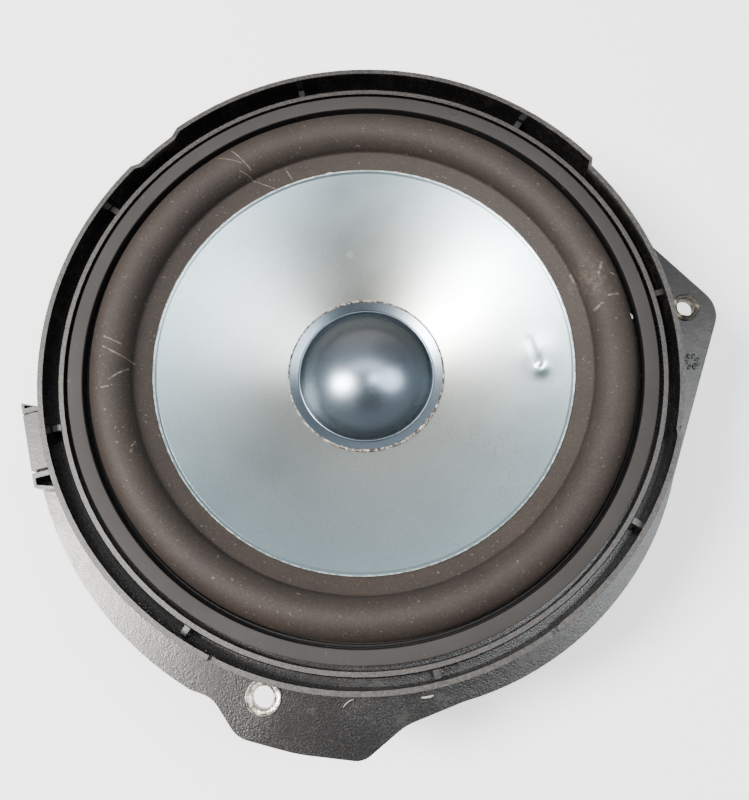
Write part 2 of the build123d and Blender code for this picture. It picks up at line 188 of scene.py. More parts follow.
def glass_filled_plastic():
    """Black glass-filled polycarbonate from a grained mould: sparkling grey sheen, dull rubbed rims, dust.

    The real spark-eroded grain is about 0.1 mm, too fine to show, and is drawn three times as coarse.
    """
    made, tree, sockets, place = material("glass_filled_plastic_moulded", "#151415", 0.31, IOR=1.58)
    dust = patches(tree, place, 5 * MM, 0.52, 0.72, 8.0, 0.75)
    speck = patches(tree, place, 0.9 * MM, 0.68, 0.74)
    fibre = patches(tree, place, 0.32 * MM, 0.52, 0.68, 2.0, 0.7)
    high = add(tree, RANGE, (add(tree, SPLIT, (place,), "Z"), *RUBBED_Z))
    rubbed = add(tree, MATH, (high, facing_up(tree)), operation="MULTIPLY")
    crusty = patches(tree, place, 0.45 * MM, 0.42, 0.6, 3.0, 0.8)
    scuffed = add(tree, MATH, (rubbed, crusty), operation="MULTIPLY")
    marks = 0.0
    for mark, share in ((dust, 0.14), (speck, 0.35), (fibre, 0.12), (scuffed, 0.5)):
        marks = add(tree, MATH, (mark, share, marks), operation="MULTIPLY_ADD")
    add(tree, MIX, {FACTOR: marks, UNDER: "#0b0b0c", OVER: "#57514b"}, to=sockets["Base Color"], **COLOUR)
    blotch = add(tree, NOISE, {"Vector": place, "Scale": lumps(24 * MM), "Detail": 2.0, "Roughness": 0.6})
    blotch = add(tree, RANGE, (blotch, 0.4, 0.6, 0.35, 1.0))
    low_side = add(tree, RANGE, (add(tree, SPLIT, (place,), "Y"), -75 * MM, -105 * MM, 0.42, 1.0))
    coarse = add(tree, MATH, (blotch, low_side), operation="MULTIPLY")
    spark = add(tree, NOISE, {"Vector": place, "Scale": lumps(0.3 * MM), "Detail": 1.0, "Roughness": 0.6})
    spark = add(tree, RANGE, (spark, 0.46, 0.7, 0.0, 0.12))
    worn = add(tree, RANGE, (dust, 0.0, 1.0, 0.255, 0.32))
    worn = add(tree, MATH, (spark, coarse, worn), operation="MULTIPLY_ADD")
    add(tree, MATH, (rubbed, 0.22, worn), to=sockets["Roughness"], operation="MULTIPLY_ADD")
    grain = add(tree, NOISE, {"Vector": place, "Scale": lumps(0.33 * MM), "Detail": 1.0, "Roughness": 0.6})
    swell = add(tree, NOISE, {"Vector": place, "Scale": lumps(2.4 * MM), "Detail": 3.0, "Roughness": 0.6})
    swell = add(tree, MATH, (swell, 0.7), operation="MULTIPLY")
    depth = add(tree, MATH, (coarse, rubbed), operation="MAXIMUM")
    grain = add(tree, MATH, (grain, depth, swell), operation="MULTIPLY_ADD")
    add(tree, BUMP, {"Height": grain, "Distance": 0.07 * MM}, to=sockets["Normal"])
    return made


def matt_plastic():
    """Smooth matt ABS of the trim ring: even warm grey with faint scuffs and two old stains; below the front
    face its walls and lip carry painted near-black shade.
    """
    made, tree, sockets, place = material("abs_matt_grey", "#2b2724", 0.66, **{"Specular IOR Level": 0.3})
    cloud = patches(tree, place, 18 * MM, 0.35, 0.7, 5.0)
    colour = add(tree, MIX, {FACTOR: cloud, UNDER: "#2a2827", OVER: "#32302e"}, **COLOUR)
    height = add(tree, SPLIT, (place,), "Z")
    # Painted shade: everything more than about a millimetre below the front face turns near-black, as if it
    # lay in shadow.
    front = add(tree, RANGE, (height, FACE_Z - 0.9 * MM, FACE_Z - 0.3 * MM))
    colour = add(tree, MIX, {FACTOR: front, UNDER: "#0a0a0b", OVER: colour}, **COLOUR)
    ring = add(tree, RANGE, (off_circle(tree, place, (30.6, 88.9), 1.3), 0.3 * MM, 0.1 * MM))
    blot = add(tree, RANGE, (flat_distance(tree, place, (87.9, -18.6)), 1.3 * MM, 0.6 * MM))
    stain = add(tree, MATH, (add(tree, MATH, (ring, blot), operation="MAXIMUM"), 0.5), operation="MULTIPLY")
    colour = add(tree, MIX, {FACTOR: stain, UNDER: colour, OVER: "#161211"}, **COLOUR)
    speck = add(tree, MATH, (patches(tree, place, 0.7 * MM, 0.7, 0.76), 0.4), operation="MULTIPLY")
    add(tree, MIX, {FACTOR: speck, UNDER: colour, OVER: "#7a746d"}, to=sockets["Base Color"], **COLOUR)
    relief(tree, sockets, place, 0.3 * MM, 0.015 * MM, 2.0, 0.5)
    return made


RUBBER_SCRATCHES = [
    ((-82.7, 5.9), (-77.5, 3.7), 0.35), ((-82.7, 2.5), (-74.4, -1.5), 0.3),
    ((-79.5, -8.0), (-75.3, -4.0), 0.35), ((-82.2, -11.0), (-79.9, -10.6), 0.3),
    ((79.0, 19.5), (82.2, 20.2), 0.4), ((68.5, 29.2), (69.7, 26.3), 0.45),
    ((76.2, 27.0), (77.4, 31.0), 0.6), ((80.5, 27.5), (83.0, 27.0), 0.35),
    ((77.0, 17.0), (75.0, 15.5), 0.6), ((-71.5, -29.5), (-70.9, -27.9), 0.35),
    ((-50.8, 69.4), (-41.7, 67.3), 0.2), ((-45.2, 71.7), (-38.8, 65.8), 0.24),
    ((-42.3, 64.9), (-31.3, 62.1), 0.2), ((-27.3, 68.0), (-25.5, 65.4), 0.24),
]


def rubber():
    """Butyl rubber: matt brown-black, with a bloom of dust, pale specks and a few scuffs."""
    made, tree, sockets, place = material("butyl_rubber_matt", "#211913", 0.7)
    bloom = patches(tree, place, 9 * MM, 0.35, 0.7, 6.0, 0.65)
    base = add(tree, MIX, {FACTOR: bloom, UNDER: "#1e1611", OVER: "#281f18"}, **COLOUR)
    fine = add(tree, MATH, (patches(tree, place, 0.4 * MM, 0.5, 0.68, 2.0, 0.7), 0.2), operation="MULTIPLY")
    base = add(tree, MIX, {FACTOR: fine, UNDER: base, OVER: "#574a42"}, **COLOUR)
    grime = add(tree, RANGE, (flat_distance(tree, place, (84.0, 26.0)), 20 * MM, 10 * MM))
    foot = add(tree, RANGE, (flat_distance(tree, place, (0, 0)), 87.4 * MM, 88.3 * MM))
    for mask in (foot, patches(tree, place, 1.0 * MM, 0.4, 0.6, 4.0)):
        grime = add(tree, MATH, (grime, mask), operation="MULTIPLY")
    base = add(tree, MIX, {FACTOR: grime, UNDER: base, OVER: "#7d6a52"}, **COLOUR)
    dusty = add(tree, RANGE, (flat_distance(tree, place, (75.0, 26.0)), 11 * MM, 2 * MM, 0.0, 0.36))
    streaks = patches(tree, place, 1.3 * MM, 0.45, 0.75, 6.0, 0.8)
    dusty = add(tree, MATH, (dusty, streaks), operation="MULTIPLY")
    speck = add(tree, MATH, (patches(tree, place, 0.8 * MM, 0.69, 0.74, 1.5), 0.3), operation="MULTIPLY")
    marks = add(tree, MATH, (speck, dusty), operation="MAXIMUM")
    uneven = add(tree, MATH, (patches(tree, place, 0.8 * MM, 0.3, 0.6, 3.0), 0.75), operation="MULTIPLY")
    for start, end, width in RUBBER_SCRATCHES:
        scratch = add(tree, MATH, (stroke(tree, place, start, end, width), uneven), operation="MULTIPLY")
        marks = add(tree, MATH, (marks, scratch), operation="MAXIMUM")
    add(tree, MIX, {FACTOR: marks, UNDER: base, OVER: "#7a6f66"}, to=sockets["Base Color"], **COLOUR)
    relief(tree, sockets, place, 0.35 * MM, 0.03 * MM, strength=0.6)
    return made


CONE_STAINS = [
    (45.6, -23.8, 1.4), (43.9, -28.8, 1.9), (49.8, -28.3, 1.2), (48.0, -37.5, 1.6), (44.4, -42.7, 1.3),
    (36.6, -21.1, 1.7), (28.8, -21.9, 1.1), (65.1, -8.0, 0.9), (54.5, 3.5, 0.8), (40.0, -25.5, 1.0),
]


def cone_metal():
    """Clear-anodised rolled aluminium: pale blue-grey satin, finely speckled, with dried water marks."""
    made, tree, sockets, place = material("aluminium_anodised_satin", "#bac3c5", 0.3, 1.0)
    outer = add(tree, RANGE, (flat_distance(tree, place, (0, 0)), 30 * MM, 64 * MM))
    base = add(tree, MIX, {FACTOR: outer, UNDER: "#b6bab4", OVER: "#a2b4ba"}, **COLOUR)
    grain = add(tree, NOISE, {"Vector": place, "Scale": lumps(0.6 * MM), "Detail": 3.0, "Roughness": 0.7})
    speckle = add(tree, RANGE, (grain, 0.35, 0.65, 0.0, 0.26))
    base = add(tree, MIX, {FACTOR: speckle, UNDER: base, OVER: "#7f9299"}, **COLOUR)
    # Painted shade: a dark spot at the dent's pit darkens the cone's colour there.
    dent_pit_painted_shade = add(tree, RANGE, (flat_distance(tree, place, (58.4, -2.2)), 3.0 * MM, 1.2 * MM, 0.0, 0.55))
    base = add(tree, MIX, {FACTOR: dent_pit_painted_shade, UNDER: base, OVER: "#56615f"}, **COLOUR)
    fleck = add(tree, MATH, (patches(tree, place, 0.7 * MM, 0.68, 0.75), 0.5), operation="MULTIPLY")
    spot = add(tree, RANGE, (flat_distance(tree, place, (-5.9, 41.9)), 1.3 * MM, 1.0 * MM, 0.0, 0.5))
    pale = add(tree, MATH, (fleck, spot), operation="MAXIMUM")
    base = add(tree, MIX, {FACTOR: pale, UNDER: base, OVER: "#d5d8d4"}, **COLOUR)
    shift = add(tree, NOISE, {"Vector": place, "Scale": lumps(2.4 * MM), "Detail": 3.0}, "Color")
    wander = add(tree, VECTOR, {0: shift, "Scale": 3.6 * MM}, operation="SCALE")
    near = add(tree, VECTOR, (place, wander), operation="ADD")
    stain = 0.0
    for x, y, size in CONE_STAINS:
        away = off_circle(tree, near, (x + 1.8, y + 1.8), size)
        stain = add(tree, MATH, (stain, add(tree, RANGE, (away, 0.3 * MM, 0.08 * MM))), operation="MAXIMUM")
    stain = add(tree, MATH, (stain, 0.34), operation="MULTIPLY")
    add(tree, MIX, {FACTOR: stain, UNDER: base, OVER: "#9c8c66"}, to=sockets["Base Color"], **COLOUR)
    cloud = add(tree, NOISE, {"Vector": place, "Scale": lumps(16 * MM), "Detail": 5.0, "Roughness": 0.6})
    add(tree, RANGE, (cloud, 0.3, 0.7, 0.28, 0.33), to=sockets["Roughness"])
    add(tree, BUMP, {"Height": grain, "Distance": 0.03 * MM, "Strength": 0.5}, to=sockets["Normal"])
    return made


def cap_metal():
    """Polished, clear-anodised aluminium of the dust cap: blue-grey mirror, with a painted warmer reflection
    on the dome's far side and painted dark reflection towards the dome's foot.
    """
    made, tree, sockets, place = material("aluminium_polished_cap", "#77838d", 0.27, 1.0)
    radius = flat_distance(tree, place, (0, 0))
    inside = add(tree, RANGE, (radius, 23.2 * MM, 22.6 * MM))
    # Painted reflection: the dome's far side takes a warmer, less blue grey.
    far_side_painted_reflection = add(tree, RANGE, (add(tree, SPLIT, (place,), "Y"), 2 * MM, 12 * MM))
    dome = add(tree, MATH, (far_side_painted_reflection, inside), operation="MULTIPLY")
    colour = add(tree, MIX, {FACTOR: dome, UNDER: "#7b8893", OVER: "#838487"}, **COLOUR)
    # Painted dark reflection: the dome's colour darkens towards its foot.
    foot = add(tree, MATH, (add(tree, RANGE, (radius, 18 * MM, 22.5 * MM)), inside), operation="MULTIPLY")
    colour = add(tree, MIX, {FACTOR: foot, UNDER: colour, OVER: "#5b6268"}, **COLOUR)
    stain = add(tree, RANGE, (off_circle(tree, place, (3.7, 1.3), 1.2), 0.25 * MM, 0.05 * MM, 0.0, 0.4))
    add(tree, MIX, {FACTOR: stain, UNDER: colour, OVER: "#8d9180"}, to=sockets["Base Color"], **COLOUR)
    haze = add(tree, NOISE, {"Vector": place, "Scale": lumps(2 * MM), "Detail": 3.0, "Roughness": 0.6})
    add(tree, RANGE, (haze, 0.3, 0.7, 0.255, 0.275), to=sockets["Roughness"])
    return made


def cut_edge_metal():
    """Bare sheared edge of the cone's sheet: rougher than its faces, with bright and dull bites."""
    made, tree, sockets, place = material("aluminium_cut_edge", "#c0cccc", 0.42, 0.9)
    bite = patches(tree, place, 1.1 * MM, 0.42, 0.62, 3.0, 0.7)
    add(tree, MIX, {FACTOR: bite, UNDER: "#73807f", OVER: "#b9c6c8"}, to=sockets["Base Color"], **COLOUR)
    relief(tree, sockets, place, 0.6 * MM, 0.08 * MM)
    return made


def hardened_glue():
    """Solvent glue that set in lumps: cream and amber, glossy, with trapped dirt."""
    made, tree, sockets, place = material("solvent_glue_hardened", "#a89f93", 0.22)
    dirt = patches(tree, place, 0.9 * MM, 0.4, 0.54, 4.0, 0.75)
    add(tree, MIX, {FACTOR: dirt, UNDER: "#c3bbae", OVER: "#332a24"}, to=sockets["Base Color"], **COLOUR)
    relief(tree, sockets, place, 0.4 * MM, 0.2 * MM, 4.0)
    return made


def worn_steel():
    """Zinc-plated steel sleeve, scuffed by screw heads: pale grey with darker oxide."""
    made, tree, sockets, place = material("steel_zinc_plated_worn", "#c9c2b6", 0.36, 0.9)
    wear = patches(tree, place, 1.2 * MM, 0.4, 0.6, 5.0, 0.7)
    add(tree, MIX, {FACTOR: wear, UNDER: "#5f5951", OVER: "#ddd8cf"}, to=sockets["Base Color"], **COLOUR)
    add(tree, RANGE, (wear, 0, 1, 0.48, 0.28), to=sockets["Roughness"])
    relief(tree, sockets, place, 0.6 * MM, 0.06 * MM, detail=4.0)
    return made


def dull_steel():
    """Zinc-plated steel sleeve gone dull: dark grey with a few pale rubbed places."""
    made, tree, sockets, place = material("steel_zinc_plated_dull", "#5a564f", 0.5, 0.8)
    wear = patches(tree, place, 2.0 * MM, 0.5, 0.68, 5.0, 0.7)
    add(tree, MIX, {FACTOR: wear, UNDER: "#3a3834", OVER: "#b3a88f"}, to=sockets["Base Color"], **COLOUR)
    relief(tree, sockets, place, 0.8 * MM, 0.12 * MM, detail=4.0)
    return made


def plated_steel():
    """Zinc-plated turned steel of the motor: grey with a faint yellow-blue passivation."""
    made, tree, sockets, place = material("steel_zinc_plated", "#a7a59c", 0.33, 1.0)
    cloud = patches(tree, place, 14 * MM, 0.35, 0.65, 4.0)
    add(tree, MIX, {FACTOR: cloud, UNDER: "#a09f99", OVER: "#a8a596"}, to=sockets["Base Color"], **COLOUR)
    radius = flat_distance(tree, place, (0, 0))
    groove = add(tree, NOISE, {"W": radius, "Scale": lumps(0.25 * MM)}, noise_dimensions="1D")
    add(tree, BUMP, {"Height": groove, "Distance": 0.03 * MM, "Strength": 0.5}, to=sockets["Normal"])
    return made


def ferrite():
    """Sintered ferrite magnet: charcoal ceramic, ground flat, with a fine gritty surface."""
    made, tree, sockets, place = material("ferrite_ground", "#2f2f31", 0.55)
    grit = add(tree, NOISE, {"Vector": place, "Scale": lumps(0.5 * MM), "Detail": 5.0, "Roughness": 0.7})
    pale = add(tree, RANGE, (grit, 0.35, 0.7))
    add(tree, MIX, {FACTOR: pale, UNDER: "#262628", OVER: "#414144"}, to=sockets["Base Color"], **COLOUR)
    add(tree, BUMP, {"Height": grit, "Distance": 0.06 * MM}, to=sockets["Normal"])
    return made


def foam():
    """Closed-cell foam gasket: soft black with fine open pores on its cut faces."""
    made, tree, sockets, place = material("foam_closed_cell", "#1f1f20", 0.9)
    cells = add(tree, "ShaderNodeTexVoronoi", {"Vector": place, "Scale": 1 / (0.7 * MM)}, "Distance")
    add(tree, BUMP, {"Height": cells, "Distance": 0.15 * MM}, to=sockets["Normal"])
    return made


def spider_cloth():
    """Resin-dipped cotton spider: yellow-brown plain weave, its 0.5 mm threads drawn twice as coarse."""
    made, tree, sockets, place = material("cotton_weave_resin_dipped", "#a8803f", 0.7)
    thread = {"Vector": place, "Scale": bands(1.2 * MM)}
    warp, weft = (add(tree, BANDS, thread, "Fac", bands_direction=axis) for axis in "XY")
    weave = add(tree, MATH, (warp, weft), operation="MULTIPLY")
    add(tree, MIX, {FACTOR: weave, UNDER: "#7d5c2c", OVER: "#b98f4d"}, to=sockets["Base Color"], **COLOUR)
    add(tree, BUMP, {"Height": weave, "Distance": 0.1 * MM}, to=sockets["Normal"])
    return made


def black_plastic():
    """Satin black PBT of the terminal block."""
    made, tree, sockets, place = material("pbt_black_satin", "#202022", 0.4)
    relief(tree, sockets, place, 0.4 * MM, 0.03 * MM)
    return made


def tinned_brass():
    """Tinned brass strip: dull silver with brass showing at the rubbed places."""
    made, tree, sockets, place = material("brass_tinned", "#cdbf8f", 0.3, 1.0)
    wear = patches(tree, place, 1.5 * MM, 0.45, 0.6, 4.0)
    add(tree, MIX, {FACTOR: wear, UNDER: "#c9c8c0", OVER: "#b8975a"}, to=sockets["Base Color"], **COLOUR)
    return made


def tinsel_braid():
    """Braided copper tinsel lead: coppery diagonal strands."""
    made, tree, sockets, place = material("copper_tinsel_braid", "#b07a52", 0.42, 0.8)
    strands = add(tree, BANDS, {"Vector": place, "Scale": bands(0.5 * MM)}, "Fac", bands_direction="DIAGONAL")
    add(tree, MIX, {FACTOR: strands, UNDER: "#6e4326", OVER: "#c9935f"}, to=sockets["Base Color"], **COLOUR)
    add(tree, BUMP, {"Height": strands, "Distance": 0.12 * MM}, to=sockets["Normal"])
    return made


def aramid_paper():
    """Aramid paper of the coil former: brown, faintly fibrous."""
    made, tree, sockets, place = material("aramid_paper", "#5b4632", 0.6)
    relief(tree, sockets, place, 0.8 * MM, 0.03 * MM, detail=5.0)
    return made


def enamelled_copper():
    """Enamelled copper wire: deep orange metal under a clear coat."""
    coat = {"Coat Weight": 0.6, "Coat Roughness": 0.08}
    return material("copper_enamelled", "#b8683a", 0.25, 1.0, **coat)[0]


def dark_glue():
    """Rubbery black neck glue."""
    made, tree, sockets, place = material("neoprene_glue_dark", "#2a211a", 0.35)
    relief(tree, sockets, place, 1.2 * MM, 0.1 * MM, detail=4.0)
    return made


def solder():
    """Bright tin solder on the lead pads."""
    made, tree, sockets, place = material("tin_solder", "#c8c9c8", 0.25, 1.0)
    relief(tree, sockets, place, 1.0 * MM, 0.05 * MM)
    return made


def black_zinc():
    """Black zinc-plated screw: dark satin metal."""
    made, tree, sockets, place = material("steel_black_zinc", "#3a3a3d", 0.35, 0.9)
    relief(tree, sockets, place, 0.5 * MM, 0.02 * MM)
    return made


def crumbs():
    """Pale dry dirt and glue crumbs."""
    return material("dry_dirt_pale", "#b9b3aa", 0.85)[0]


def screen_wire():
    """Blackened steel wire of the vent screen."""
    return material("steel_wire_blackened", "#3f4042", 0.4, 0.9)[0]


MATERIALS = {make.__name__: make() for make in (
    glass_filled_plastic, matt_plastic, rubber, cone_metal, cap_metal, cut_edge_metal, hardened_glue,
    worn_steel, dull_steel, plated_steel, ferrite, foam, spider_cloth, black_plastic, tinned_brass,
    tinsel_braid, aramid_paper, enamelled_copper, dark_glue, solder, black_zinc, crumbs, screen_wire)}


# ---- mesh helpers ---------------------------------------------------------------------------
def mesh_object(name, points, faces, looks, edges=()):
    """Object at the origin from points in metres."""
    mesh = bpy.data.meshes.new(name)
    mesh.from_pydata([tuple(p) for p in points], edges, faces)
    if looks:
        mesh.materials.append(MATERIALS[looks])
    made = bpy.data.objects.new(name, mesh)
    bpy.context.scene.collection.objects.link(made)
    return made


def smooth(made, degrees=35.0):
    """Smooth shading except across edges sharper than an angle."""
    made.data.shade_smooth()
    made.data.set_sharp_from_angle(angle=math.radians(degrees))
    return made


def rounded(outline, radius, steps=3):
    """A closed (r, z) outline with each sharp corner turned into a small arc."""
    result = []
    count = len(outline)
    for i, corner in enumerate(outline):
        here = Vector(corner)
        before, after = Vector(outline[i - 1]) - here, Vector(outline[(i + 1) % count]) - here
        turn = math.pi - before.angle(after)
        if turn < math.radians(25):
            result.append(here)
            continue
        cut = min(radius * math.tan(turn / 2), 0.45 * before.length, 0.45 * after.length)
        first, last = here + before.normalized() * cut, here + after.normalized() * cut
        for k in range(steps + 1):
            t = k / steps
            result.append(first * (1 - t) ** 2 + here * 2 * t * (1 - t) + last * t * t)
    return result


def ring_mesh(name, sections, looks, closed=True):
    """Skin over equal sections, each a closed loop of points; a ring, or a slice capped at both ends."""
    points = [p for section in sections for p in section]
    count, total = len(sections[0]), len(sections)
    faces = []
    for k in range(total if closed else total - 1):
        nxt = (k + 1) % total
        for i in range(count):
            j = (i + 1) % count
            faces.append((k * count + i, nxt * count + i, nxt * count + j, k * count + j))
    if not closed:
        faces += [tuple(range(count)), tuple((total - 1) * count + i for i in reversed(range(count)))]
    made = mesh_object(name, points, faces, looks)
    outward(made)
    return made


def swept(line, turn, centre=(0.0, 0.0)):
    """A (r, z) outline placed at an angle about Z."""
    cosine, sine = math.cos(turn), math.sin(turn)
    return [(centre[0] + p[0] * cosine, centre[1] + p[0] * sine, p[1]) for p in line]


def turned(name, outline, looks, corner, segments=192):
    """Closed ring: a (r, z) outline in metres, rounded at its corners and turned about Z."""
    line = rounded(outline, corner)
    sections = [swept(line, 2 * math.pi * k / segments) for k in range(segments)]
    return smooth(ring_mesh(name, sections, looks))


def outward(made):
    """Turns every face of a closed mesh outwards."""
    shell = bmesh.new()
    shell.from_mesh(made.data)
    bmesh.ops.recalc_face_normals(shell, faces=shell.faces)
    shell.to_mesh(made.data)
    shell.free()


def evaluated(made):
    """Turns an object's modifiers into its mesh."""
    bpy.context.view_layer.update()
    done = bpy.data.meshes.new_from_object(made.evaluated_get(bpy.context.evaluated_depsgraph_get()))
    made.modifiers.clear()
    made.data = done
    return made


def softened(name, nodes, looks, width=0.22 * MM, cut=None, weight=None):
    """Merged copy of CAD nodes with every sharp edge rounded; faces that cut() picks are joints left out."""
    shell = bmesh.new()
    for node in nodes:
        shell.from_mesh(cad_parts[node].data)
    bmesh.ops.remove_doubles(shell, verts=shell.verts, dist=0.002 * MM)
    for face in shell.faces:
        face.material_index = 0
    if cut:
        bmesh.ops.delete(shell, geom=[face for face in shell.faces if cut(face)], context="FACES")
        bmesh.ops.remove_doubles(shell, verts=shell.verts, dist=0.02 * MM)
    bmesh.ops.dissolve_limit(shell, angle_limit=math.radians(0.5), verts=shell.verts, edges=shell.edges)
    mesh = bpy.data.meshes.new(name)
    layer = shell.edges.layers.float.new("bevel_weight_edge")
    for side in shell.edges:
        if side.is_manifold and side.calc_face_angle(0) > math.radians(35):
            side[layer] = weight(side) if weight else 1.0
    shell.to_mesh(mesh)
    shell.free()
    mesh.materials.append(MATERIALS[looks])
    made = bpy.data.objects.new(name, mesh)
    bpy.context.scene.collection.objects.link(made)
    smooth(made)
    edge = made.modifiers.new("edge", "BEVEL")
    edge.width = width
    edge.segments = 2
    edge.limit_method = "WEIGHT"
    weights = made.modifiers.new("normals", "WEIGHTED_NORMAL")
    weights.weight = 80
    weights.keep_sharp = True
    evaluated(made)
    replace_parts(made, *nodes)
    return made


def finish_piece(made, body):
    """Rides on a body."""
    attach(made, body)
    return made


# ---- geometry node groups -------------------------------------------------------------------
CIRCLE, TUBE, JOIN = (
    "GeometryNodeCurvePrimitiveCircle", "GeometryNodeCurveToMesh", "GeometryNodeJoinGeometry")


def group(name, inputs):
    """New geometry group with named inputs: returns it and its input sockets."""
    tree = bpy.data.node_groups.new(name, "GeometryNodeTree")
    tree.interface.new_socket("Geometry", in_out="INPUT", socket_type="NodeSocketGeometry")
    tree.interface.new_socket("Geometry", in_out="OUTPUT", socket_type="NodeSocketGeometry")
    for key, kind in inputs.items():
        tree.interface.new_socket(key, in_out="INPUT", socket_type="NodeSocket" + kind)
    given = tree.nodes.new("NodeGroupInput").outputs
    return tree, given


def closed(tree, geometry, looks, where=True):
    """Ends a group in real geometry with a material where it is asked for."""
    real = add(tree, "GeometryNodeRealizeInstances", {"Geometry": geometry})
    painted = add(tree, "GeometryNodeSetMaterial", {"Geometry": real, "Selection": where, "Material": looks})
    tree.links.new(painted, tree.nodes.new("NodeGroupOutput").inputs[0])
    return tree


def grown(made, tree, **values):
    """Runs a geometry group on an object with the given inputs and keeps the mesh."""
    run = made.modifiers.new(tree.name, "NODES")
    run.node_group = tree
    sockets = {item.name: item.identifier for item in tree.interface.items_tree if item.in_out == "INPUT"}
    for key, value in values.items():
        run[sockets[key]] = value
    return evaluated(made)


def winding_group():
    """Close helix of wire: the turns touch each other."""
    tree, given = group("winding", {"Radius": "Float", "Height": "Float", "Wire": "Float"})
    pitch = add(tree, MATH, (given["Wire"], 2.0), operation="MULTIPLY")
    turns = add(tree, MATH, (given["Height"], pitch), operation="DIVIDE")
    helix = add(tree, "GeometryNodeCurveSpiral", {
        "Resolution": 90, "Rotations": turns, "Start Radius": given["Radius"], "End Radius": given["Radius"],
        "Height": given["Height"]})
    section = add(tree, CIRCLE, {"Resolution": 8, "Radius": given["Wire"]})
    wire = add(tree, TUBE, {"Curve": helix, "Profile Curve": section, "Fill Caps": True})
    return closed(tree, wire, MATERIALS["enamelled_copper"])


def screen_group():
    """Woven screen: two crossed rows of wires, each as long as the round frame is wide there."""
    tree, given = group("screen", {"Radius": "Float", "Pitch": "Float", "Wire": "Float"})
    span = add(tree, MATH, (given["Radius"], given["Pitch"]), operation="DIVIDE")
    half = add(tree, MATH, (span,), operation="FLOOR")
    count = add(tree, MATH, (half, 2.0, 1.0), operation="MULTIPLY_ADD")
    reach = add(tree, MATH, (half, given["Pitch"]), operation="MULTIPLY")
    first = add(tree, MERGE, (add(tree, MATH, (reach, -1.0), operation="MULTIPLY"),))
    step = add(tree, MERGE, (given["Pitch"],))
    row = add(tree, "GeometryNodeMeshLine", {"Count": count, "Start Location": first, "Offset": step})
    across = add(tree, SPLIT, (add(tree, "GeometryNodeInputPosition"),), "X")
    whole, part = (add(tree, MATH, (side, 2.0), operation="POWER") for side in (given["Radius"], across))
    chord = add(tree, MATH, (add(tree, MATH, (whole, part), operation="SUBTRACT"),), operation="SQRT")
    unit = add(tree, "GeometryNodeCurvePrimitiveLine", {"Start": (0, -1, 0), "End": (0, 1, 0)})
    section = add(tree, CIRCLE, {"Resolution": 6, "Radius": given["Wire"]})
    wire = add(tree, TUBE, {"Curve": unit, "Profile Curve": section, "Fill Caps": True})
    length = add(tree, MERGE, (1.0, chord, 1.0))
    wires = add(tree, "GeometryNodeInstanceOnPoints", {"Points": row, "Instance": wire, "Scale": length})
    lift = add(tree, MERGE, {"Z": add(tree, MATH, (given["Wire"], 1.2), operation="MULTIPLY")})
    crossed = add(tree, "GeometryNodeTransform", {
        "Geometry": wires, "Translation": lift, "Rotation": (0, 0, math.pi / 2)})
    both = add(tree, JOIN, {"Geometry": [wires, crossed, given["Geometry"]]})
    return closed(tree, both, MATERIALS["screen_wire"])


def braid_group():
    """Tinsel cord along a line: strands wound both ways round a core."""
    tree, given = group("braid", {"Strands": "Int", "Radius": "Float", "Strand": "Float", "Turns": "Float"})
    line = add(tree, "GeometryNodeMeshToCurve", {"Mesh": given["Geometry"]})
    even = add(tree, "GeometryNodeResampleCurve", {"Curve": line, "Count": 160})
    copies = add(tree, "GeometryNodeDuplicateElements", {
        "Geometry": even, "Amount": given["Strands"]}, domain="SPLINE")
    number = copies.node.outputs["Duplicate Index"]
    odd = add(tree, MATH, (number, 2.0), operation="MODULO")
    way = add(tree, MATH, (odd, 2.0, -1.0), operation="MULTIPLY_ADD")
    share = add(tree, MATH, (number, given["Strands"]), operation="DIVIDE")
    phase = add(tree, MATH, (share, 2 * math.pi), operation="MULTIPLY")
    along = add(tree, "GeometryNodeSplineParameter", out="Factor")
    wound = add(tree, MATH, (along, given["Turns"]), operation="MULTIPLY")
    wound = add(tree, MATH, (wound, 2 * math.pi), operation="MULTIPLY")
    angle = add(tree, MATH, (wound, way, phase), operation="MULTIPLY_ADD")
    out = add(tree, "ShaderNodeVectorRotate", {
        "Vector": add(tree, "GeometryNodeInputNormal"),
        "Axis": add(tree, "GeometryNodeInputTangent"), "Angle": angle})
    shift = add(tree, VECTOR, {0: out, "Scale": given["Radius"]}, operation="SCALE")
    moved = add(tree, "GeometryNodeSetPosition", {"Geometry": copies, "Offset": shift})
    thin = add(tree, CIRCLE, {"Resolution": 6, "Radius": given["Strand"]})
    thick = add(tree, CIRCLE, {"Resolution": 12, "Radius": given["Radius"]})
    strands = add(tree, TUBE, {"Curve": moved, "Profile Curve": thin, "Fill Caps": True})
    core = add(tree, TUBE, {"Curve": even, "Profile Curve": thick, "Fill Caps": True})
    both = add(tree, JOIN, {"Geometry": [strands, core]})
    return closed(tree, both, MATERIALS["tinsel_braid"])


